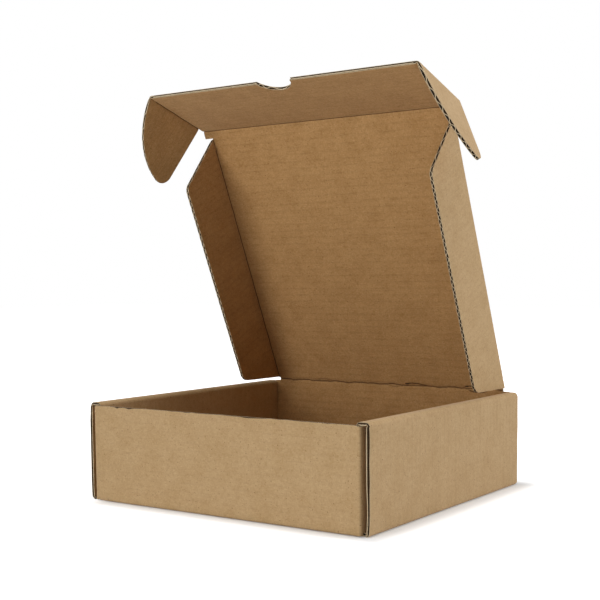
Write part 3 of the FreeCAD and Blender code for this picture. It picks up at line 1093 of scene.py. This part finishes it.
@dataclass(frozen=True)
class Lid:
    """Lid panel with the crease that it hangs on.

    Attributes:
        half_widths: Stretches of the lid: start and end from the hinge, and half width, in mm.
        foot_half: Half width of what it carries below the hinge.
        swellings: Height, place and width of the raised board beside the wrinkles, in mm.
        raised: Distance from the hinge over which the board is raised.
    """

    half_widths: tuple[Triple, ...] = ((0.0, 2.0, 118.1), (2.0, 243.1, 115.9), (243.1, 243.9, 118.1),
                                       (243.9, 260.0, 126.7))
    foot_half: float = 118.1 * MM
    swellings: tuple[Triple, ...] = ((0.7, 33.0, 8.0), (0.84, 95.0, 8.0))
    raised: float = 3.5 * MM

    def creases(self) -> tuple[Crease, ...]:
        """List the hinge crease and the short wrinkles beside it, first in mm from the hinge.

        Returns:
            The creases.
        """
        at = OVERLAP
        line = Crease(at + 0.1 * MM, wander=0.7 * MM, seed=8, wide=2.2 * MM, narrow=0.75 * MM)
        wrinkles = (
            Crease(0.1, seed=9, span=(20, 46), bow=2.6, narrow=0.7 * MM),
            Crease(-0.2, seed=10, span=(82, 108), bow=-3.2, narrow=0.8 * MM),
            Crease(0.6, seed=12, span=(79, 104), bow=2.2, narrow=0.7 * MM),
            Crease(1.2, seed=13, depth=0.8, span=(-76, -54), bow=1.0),
            Crease(-0.8, seed=23, depth=0.8, span=(4, 20), bow=-1.0),
        )
        return (line, *(replace(one, at=at + one.at * MM, wander=0.3 * MM, bow=one.bow * MM,
                                span=(one.span[0] * MM, one.span[1] * MM)) for one in wrinkles))

    def warp(self, run: np.ndarray, place: np.ndarray) -> np.ndarray:
        """Raise the board unevenly at the hinge, with two swellings beside the wrinkles.

        Args:
            run: Distances along the run.
            place: Distances along the hinge.

        Returns:
            How far the board stands off its track.
        """
        near = hump(run, OVERLAP, self.raised) * np.clip(run / (1.5 * MM), 0, 1)
        lens = sum(high * hump(place, middle * MM, width * MM) for high, middle, width in self.swellings)
        return near * np.maximum(0.3 * wobble(place, 14, 20 * MM) + lens, 0.0) * MM

    def keep(self, run: np.ndarray, place: np.ndarray) -> np.ndarray:
        """Cut the lid's outline out of the net.

        Args:
            run: Runs of the cells.
            place: Places of the cells.

        Returns:
            Which cells are board.
        """
        kept = (run < OVERLAP) & (np.abs(place) < self.foot_half)
        for low, high, half in self.half_widths:
            kept |= (run >= OVERLAP + low * MM) & (run < OVERLAP + high * MM) & (np.abs(place) < half * MM)
        return kept

    def build(self) -> bpy.types.Object:
        """Make the lid, which bends about the hinge.

        Returns:
            The piece.
        """
        down = np.array((0.0, 0.0, -1.0))
        track = Track([HINGE + down * OVERLAP, HINGE, HINGE + LID_WAY * (LID_LONG - OVERLAP)], [LID_BEND],
                      (1, 0, 0))
        panel = Panel(track, self.creases(), True, 1, (0.0, BLANK_HINGE), warp=self.warp)
        half = self.half_widths[-1][2] * MM
        corners = [OVERLAP, *(OVERLAP + low * MM for low, _, _ in self.half_widths)]
        hinge = np.linspace(0.3 * MM, 8 * MM, 27)
        lines = [sign * width * MM for sign in (-1, 1) for width in (115.9, 118.1)]
        shell = Shell()
        rows, fine = (sampled(0, track.length, share, *corners, *near)
                      for share, near in ((4, hinge), (12, hinge[::2])))
        columns, few = (steps(-half, half, size * MM, *lines) for size in (3, 12))
        panel.fill(shell, lay(rows, columns, self.keep), lay(fine, few, self.keep))
        piece = shell.make("lid_panel")
        fold_over(piece, "tray", "lid", HINGE, LID_WAY)
        return piece


@dataclass(frozen=True)
class Tuck:
    """Tuck flap with its thumb notch, an arc.

    Attributes:
        long: From crease to free edge.
        half: Half width next to the crease, up to ear_from.
        ear_half: Half width where the ears hang.
        ear_from: Where the ears begin, from the crease.
        notch_half: Half the notch's width.
        notch_deep: Its depth.
        settled: Place from which the net's columns are straight.
    """

    long: float = 72.3 * MM
    half: float = 126.7 * MM
    ear_half: float = 124.5 * MM
    ear_from: float = 6.5 * MM
    notch_half: float = 16.0 * MM
    notch_deep: float = 13.2 * MM
    settled: float = 60.0 * MM

    @property
    def radius(self) -> float:
        """Radius of the notch: (half width^2 + depth^2) / (2 depth)."""
        return (self.notch_half ** 2 + self.notch_deep ** 2) / (2 * self.notch_deep)

    @property
    def centre(self) -> float:
        """Run of the notch's middle, which lies beyond the free edge."""
        return OVERLAP + self.long + self.radius - self.notch_deep

    def net(self, side: int, rows: np.ndarray, size: float) -> Net:
        """Lay one half of the flap, with its columns pushed out of the notch.

        A column starts at the arc, sqrt(radius^2 - (centre - run)^2), and runs straight
        from 60 mm on.

        Args:
            side: -1 for the left half and 1 for the right one.
            rows: Runs of the rows.
            size: Distance between columns.

        Returns:
            The net.
        """
        arc = np.sqrt(np.maximum(self.radius ** 2 - (self.centre - rows) ** 2, 0.0))[:, None]

        def keep(run: np.ndarray, place: np.ndarray) -> np.ndarray:
            """Leave out what lies past the ears' creases."""
            return (run <= OVERLAP + self.ear_from) | (place <= self.ear_half)

        straight = lay(rows, steps(0.0, self.half, size, self.ear_half), keep)
        place = straight.place
        share = np.minimum(place / self.settled, 1.0)
        place = place * share + (1 - share) * (arc + place * (1 - arc / self.settled))
        return Net(straight.run, side * place, straight.keep)

    def build(self) -> bpy.types.Object:
        """Make the flap in two halves that meet over the notch.

        The flutes are shifted so that the free edge cuts the medium near its middle height.

        Returns:
            The piece.
        """
        track = Track([TUCK_AT - LID_WAY * OVERLAP, TUCK_AT, TUCK_AT + TUCK_WAY * self.long], [LID_BEND],
                      (1, 0, 0))
        total = track.length
        panel = Panel(track, (Crease(OVERLAP - 0.1 * MM, wander=0.2 * MM, seed=15),), True, 1,
                      (0.0, BLANK_TUCK), phase=BOARD.pitch * 0.21 - total)
        notch = self.centre - self.radius + np.array((0.002, 0.01, 0.04, 0.1, 0.18, 0.28)) * MM
        marks = (OVERLAP, OVERLAP + self.ear_from)
        crease = np.linspace(0.3 * MM, 7.5 * MM, 23)
        rows = np.union1d(steps(0, total, BOARD.pitch / 8, *marks, *crease), notch)
        fine = np.union1d(steps(0, total, BOARD.pitch / 16, *marks), notch)
        shell = Shell()
        for side in (-1, 1):
            panel.fill(shell, self.net(side, rows, 8 * MM), self.net(side, fine, 20 * MM))
        piece = shell.make("tuck_panel")
        fold_over(piece, "lid", "tuck_flap", TUCK_AT, TUCK_WAY)
        return piece


@dataclass(frozen=True)
class SlantedOutline:
    """Outline of a lid side flap: straight lines through points, with two rounded corners."""

    points: tuple[Pair, ...] = ((2 * MM, 0.0), (26 * MM, 53 * MM), (216.1 * MM, 53 * MM), (243.1 * MM, 0.0))
    radii: tuple[float, ...] = (10 * MM, 8 * MM)

    @property
    def marks(self) -> tuple[float, ...]:
        """Places where the outline turns."""
        return self.points[1][0], self.points[2][0]

    def reach(self, place: np.ndarray) -> np.ndarray:
        """Find how far the flap goes: the straight lines, with a circle's upper half in each corner.

        Args:
            place: Distances along the crease.

        Returns:
            Distances from the crease.
        """
        where = np.array(self.points)
        value = np.interp(place, where[:, 0], where[:, 1])
        for i, radius in enumerate(self.radii, start=1):
            before = (where[i - 1] - where[i]) / np.linalg.norm(where[i - 1] - where[i])
            after = (where[i + 1] - where[i]) / np.linalg.norm(where[i + 1] - where[i])
            angle = math.acos(float(np.clip(before @ after, -1, 1)))
            cut = radius / math.tan(angle / 2)
            towards = (before + after) / np.linalg.norm(before + after)
            middle = where[i] + towards * radius / math.sin(angle / 2)
            inside = (place > where[i, 0] + before[0] * cut) & (place < where[i, 0] + after[0] * cut)
            arc = middle[1] + np.sqrt(np.maximum(radius ** 2 - (place - middle[0]) ** 2, 0))
            value = np.where(inside, arc, value)
        return value


@dataclass(frozen=True)
class EarOutline:
    """Outline of an ear: straight edge, rounded tip and long arc back to the free corner."""

    low: float = 6.5 * MM
    high: float = 72.3 * MM
    long: float = 61.5 * MM
    radius: float = 81 * MM
    tip: float = 9 * MM

    @property
    def marks(self) -> tuple[float, ...]:
        """Places close together where the tip's arc starts."""
        return 6.52 * MM, 6.6 * MM, 6.75 * MM, 7 * MM, 8 * MM

    def reach(self, place: np.ndarray) -> np.ndarray:
        """Find how far the ear goes.

        The long arc is a circle through the straight edge's end and the free corner. The
        tip's circle touches the straight edge and, from inside, the long arc.

        Args:
            place: Distances along the crease.

        Returns:
            Distances from the crease.
        """
        start, end = np.array((self.low, self.long)), np.array((self.high, 0.0))
        chord = end - start
        size = np.linalg.norm(chord)
        aside = np.array((chord[1], -chord[0])) / size
        centre = (start + end) / 2 + aside * math.sqrt(self.radius ** 2 - (size / 2) ** 2)
        big = centre[1] + np.sqrt(np.maximum(self.radius ** 2 - (place - centre[0]) ** 2, 0))
        inner = self.radius - self.tip
        tip_x = self.low + self.tip
        tip_y = centre[1] + math.sqrt(inner ** 2 - (tip_x - centre[0]) ** 2)
        touch = centre + (np.array((tip_x, tip_y)) - centre) / inner * self.radius
        small = tip_y + np.sqrt(np.maximum(self.tip ** 2 - (place - tip_x) ** 2, 0))
        return np.where(place < touch[0], small, big)


@dataclass(frozen=True)
class Flap:
    """A flap with its flutes square to its crease.

    Attributes:
        name: Body and CAD node of the flap.
        parent: Body that it hangs on.
        side: -1 for a left flap and 1 for a right one.
        axis: The point of its axis at place 0.
        along: Unit vector along the axis.
        way: Unit vector from the axis into the flap.
        span: Places where it starts and ends.
        outline: Its outline.
        origin: Where run 0 and place 0 lie on the flat blank.
        seed: Seed of its crease.
        deep: Depth over which the rows are spread.
        turned: Depth up to which they are close together.
    """

    name: str
    parent: str
    side: int
    axis: np.ndarray
    along: np.ndarray
    way: np.ndarray
    span: Pair
    outline: SlantedOutline | EarOutline
    origin: Pair
    seed: int
    deep: float = 53 * MM
    turned: float = 8 * MM

    def net(self, size: float, lost: float) -> Net:
        """Lay the flap: each column runs from inside the parent to the outline, which is slightly uneven.

        Args:
            size: Distance between columns.
            lost: What the bend takes from the run.

        Returns:
            The net.
        """
        columns = steps(*self.span, size, *self.outline.marks)
        far = OVERLAP + np.maximum(self.outline.reach(columns), 0.0) - lost
        far = far + 0.12 * MM * wobble(columns, 19 + self.side, 12 * MM) * (far > self.turned)
        shares = np.concatenate((np.linspace(0, self.turned, 25),
                                 np.linspace(self.turned, self.deep, 12)[1:])) / self.deep
        return Net(shares[:, None] * far[None, :], np.repeat(columns[None, :], len(shares), 0))

    def build(self) -> bpy.types.Object:
        """Make the flap.

        Returns:
            The piece.
        """
        back = -self.side * RIGHT
        track = Track([self.axis + back * OVERLAP, self.axis, self.axis + self.way * 90 * MM], [LID_BEND],
                      tuple(self.along))
        turn = math.acos(float(np.clip(-back @ self.way, -1, 1)))
        cut = LID_BEND * math.tan(turn / 2)
        crease = Crease(OVERLAP - cut + LID_BEND * turn / 2, wander=0.2 * MM, seed=self.seed)
        panel = Panel(track, (crease,), False, -self.side, self.origin, (self.side, 0.0), (0.0, 1.0))
        shell = Shell()
        panel.fill(shell, *(self.net(BOARD.pitch / share, 2 * cut - LID_BEND * turn) for share in (8, 12)))
        piece = shell.make(self.name + "_panel")
        fold_over(piece, self.parent, self.name, self.axis, self.way)
        return piece


def flaps() -> list[Flap]:
    """List the lid's side flaps and the tuck flap's ears.

    Returns:
        The four flaps.
    """
    side_at, ear_at, ear_angle = 119.7 * MM, 128.3 * MM, math.radians(62)
    found = []
    for side, word, seeds in ((-1, "left", (30, 24)), (1, "right", (33, 27))):
        out = side * RIGHT
        ear_way = math.cos(ear_angle) * out + math.sin(ear_angle) * TUCK_IN
        side_from = (side * (side_at - OVERLAP), BLANK_HINGE + OVERLAP)
        ear_from = (side * (ear_at - OVERLAP), BLANK_TUCK)
        found += [
            Flap(f"{word}_side_flap", "lid", side, HINGE + out * side_at, LID_WAY, LID_IN,
                 (2.0 * MM, 243.1 * MM), SlantedOutline(), side_from, seeds[0]),
            Flap(f"{word}_ear", "tuck_flap", side, TUCK_AT + out * ear_at, TUCK_WAY, ear_way,
                 (6.5 * MM, 72.3 * MM), EarOutline(), ear_from, seeds[1]),
        ]
    return found


@dataclass(frozen=True)
class Kraft:
    """Uncoated kraft paper, pressed from wood pulp: matt, with mottle, fibres, specks and creases darkened,
    partly as crushed board and partly as painted shade in the fold.

    It gives the eye a dry brown skin without gloss, darker in clouds of 18 mm and blotches of 4 mm, grained
    by fibres and crossed by the flutes' faint lines, which are partly glue lines and partly painted shade of
    the washboard's waves. Patterns are in metres on the flat blank. Real fibres are 0.03 mm wide and real
    specks 0.3 mm, too fine to show, so they are drawn 1 to 2 mm long.

    Attributes:
        name: Name of the material.
        colour: Main colour.
        dark: Colour of the mottle and the dark fibres.
        pale: Colour of the pale fibres.
        speck: Colour of the specks and the flutes' lines.
        fold: Colour of the creases, crushed board with painted shade in the fold.
        mottle: Strength of the mottle.
        fibre: Strength of the fibres.
        washboard: Strength of the flutes' lines, partly glue lines and partly painted shade of the
            washboard's waves.
        specks: Strength of the specks.
        crush_and_shade_strength: Strength of the creases' darkening, crushed board with painted shade in the
            fold.
        bump: Strength of the relief.
        relief: Height of the relief in metres.
        roughness: Roughness of raw paper.
        specular: Specular level of raw paper.
        sheen: Weight of the loose fibres' sheen.
        sheen_rough: Its roughness.
    """

    name: str
    colour: str
    dark: str
    pale: str
    speck: str
    fold: str
    mottle: float = 0.30
    fibre: float = 0.36
    washboard: float = 0.1
    specks: float = 0.7
    crush_and_shade_strength: float = 0.9
    bump: float = 0.4
    relief: float = 0.14 * MM
    roughness: float = 0.85
    specular: float = 0.25
    sheen: float = 0.08
    sheen_rough: float = 0.5

    def patterns(self, tree: bpy.types.NodeTree,
                 place: bpy.types.NodeSocket) -> dict[str, bpy.types.NodeSocket]:
        """Add the noise patterns.

        Args:
            tree: Node tree that gets the nodes.
            place: Place on the flat blank.

        Returns:
            Noise by the pattern's name.
        """
        found = {}
        for name, along, across, detail, rough, shift in (
                ("cloud", 55.0, 55.0, 3.0, 0.6, 3.1), ("blotch", 300.0, 260.0, 2.5, 0.6, 7.7),
                ("fibre", 1000.0, 480.0, 2.0, 0.6, 1.3), ("grain", 480.0, 900.0, 2.0, 0.6, 5.9),
                ("streak", 75.0, 620.0, 2.5, 0.6, 9.3), ("spots", 800.0, 640.0, 1.0, 0.5, 11.0)):
            moved = add_node(tree, "ShaderNodeMapping", {"Vector": place, "Location": (shift, shift, 0.0),
                                                         "Scale": (along, across, 1.0)})
            noise = add_node(tree, "ShaderNodeTexNoise", {"Vector": moved.outputs[0], "Scale": 1.0,
                                                          "Detail": detail, "Roughness": rough})
            found[name] = noise.outputs[0]
        return found

    def threads(self, tree: bpy.types.NodeTree, place: bpy.types.NodeSocket,
                streak: bpy.types.NodeSocket) -> bpy.types.NodeSocket:
        """Add the thin lines that the flutes and the pulp's run leave; the flutes' lines are partly glue
        lines and partly painted shade of the washboard's waves.

        They are the larger of cos(2 pi y / pitch) times the streaks, and the strongest streaks alone.

        Args:
            tree: Node tree that gets the nodes.
            place: Place on the flat blank.
            streak: Noise of the streaks.

        Returns:
            Strength of the lines, 0 to 1.
        """
        across = add_node(tree, "ShaderNodeSeparateXYZ", {0: place}).outputs[1]
        turns = add_node(tree, "ShaderNodeMath", {0: across, 1: 2 * math.pi / BOARD.pitch},
                         operation="MULTIPLY")
        wave = add_node(tree, "ShaderNodeMath", {0: turns.outputs[0]}, operation="COSINE").outputs[0]
        valley, soft, strong = (
            add_node(tree, "ShaderNodeMapRange", {"Value": value, "From Min": low, "From Max": high,
                                                  "To Min": 0.0, "To Max": most}).outputs[0]
            for value, low, high, most in ((wave, 0.2, 1.0, 1.0), (streak, 0.38, 0.66, 1.0),
                                           (streak, 0.56, 0.72, 0.9)))
        broken = add_node(tree, "ShaderNodeMath", {0: valley, 1: soft}, operation="MULTIPLY").outputs[0]
        return add_node(tree, "ShaderNodeMath", {0: broken, 1: strong}, operation="MAXIMUM").outputs[0]

    def build(self) -> bpy.types.Material:
        """Make the material: the main colour, mixed with the others by one pattern after another.

        Returns:
            The material.
        """
        material = bpy.data.materials.new(self.name)
        material.use_nodes = True
        tree = material.node_tree
        tree.nodes.clear()
        place = add_node(tree, "ShaderNodeUVMap", uv_map="flat").outputs[0]
        noise = self.patterns(tree, place)
        threads = self.threads(tree, place, noise["streak"])
        crush_and_shade = add_node(tree, "ShaderNodeAttribute", attribute_name="crush_and_shade").outputs["Fac"]
        colour = linear(self.colour)
        for other, pattern, low, high, strength in (
                (self.dark, noise["cloud"], 0.40, 0.70, self.mottle),
                (self.dark, noise["blotch"], 0.45, 0.75, self.mottle * 1.2),
                (self.dark, noise["fibre"], 0.45, 0.75, self.fibre),
                (self.pale, noise["grain"], 0.50, 0.78, self.fibre),
                # Flutes' lines: partly glue lines, partly painted shade of the washboard's waves.
                (self.speck, threads, 0.0, 1.0, self.washboard),
                (self.speck, noise["spots"], 0.68, 0.74, self.specks),
                # Creases darkened, most on the inside: partly the crushed board's own tone, partly painted
                # shade in the fold.
                (self.fold, crush_and_shade, 0.45, 1.0, self.crush_and_shade_strength)):
            share = add_node(tree, "ShaderNodeMapRange", {"Value": pattern, "From Min": low, "From Max": high,
                                                          "To Min": 0.0, "To Max": strength})
            mixed = add_node(tree, "ShaderNodeMix", {0: share.outputs[0], 6: colour, 7: linear(other)},
                             data_type="RGBA")
            colour = mixed.outputs[2]
        raised = noise["fibre"]
        for pattern in (noise["grain"], noise["blotch"], threads):
            raised = add_node(tree, "ShaderNodeMath", {0: raised, 1: pattern}, operation="ADD").outputs[0]
        bump = add_node(tree, "ShaderNodeBump", {"Height": raised, "Strength": self.bump,
                                                 "Distance": self.relief})
        skin = add_node(tree, "ShaderNodeBsdfPrincipled", {
            "Base Color": colour, "Roughness": self.roughness, "Normal": bump.outputs[0],
            "Specular IOR Level": self.specular, "Sheen Weight": self.sheen,
            "Sheen Roughness": self.sheen_rough})
        add_node(tree, "ShaderNodeOutputMaterial", {"Surface": skin.outputs[0]})
        return material


# The outer liner is smoother than the inner one, and paler: the inner one's darker, browner colour is painted
# shade of the box's inside. A cut edge shows the pale torn pulp. The medium and the liners' backs are painted
# dark brown, as the shade in the flutes' hollows between the liners.
PAPERS = {
    Coat.OUTER: Kraft("kraft_outside", "#C0A177", "#A3814F", "#D9BD93", "#7A5C36", "#6A4A26"),
    # Painted shade: the inside is the outside's kraft drawn darker and browner, as the shade inside the box.
    Coat.INNER: Kraft("kraft_inside_painted_shade", "#BA915E", "#956C3A", "#D0AC7C", "#6E4B22", "#452A10",
                      mottle=0.36, fibre=0.46, washboard=0.20),
    Coat.EDGE: Kraft("kraft_cut_edge", "#D2BE9C", "#AE9572", "#E6D6B6", "#8A7352", "#A08662", fibre=0.4),
    # Painted shade: the medium and the liners' backs are drawn dark brown, as the shade in the flutes'
    # hollows.
    Coat.CORE: Kraft("kraft_medium_painted_shade", "#4A341C", "#332211", "#5C432A", "#22150A", "#22150A"),
}


def main() -> None:
    """Build the camera, the stage and the box, and report each piece."""
    Camera().build()
    Stage().build()
    FINISHES.update({coat: paper.build() for coat, paper in PAPERS.items()})
    pieces = [*Tray().build(), Lid().build(), Tuck().build(), *(flap.build() for flap in flaps())]
    for piece in pieces:
        log.info("%s: %d faces", piece.name, len(piece.data.polygons))


if __name__ == "__main__":
    logging.basicConfig(level=logging.INFO)
    main()
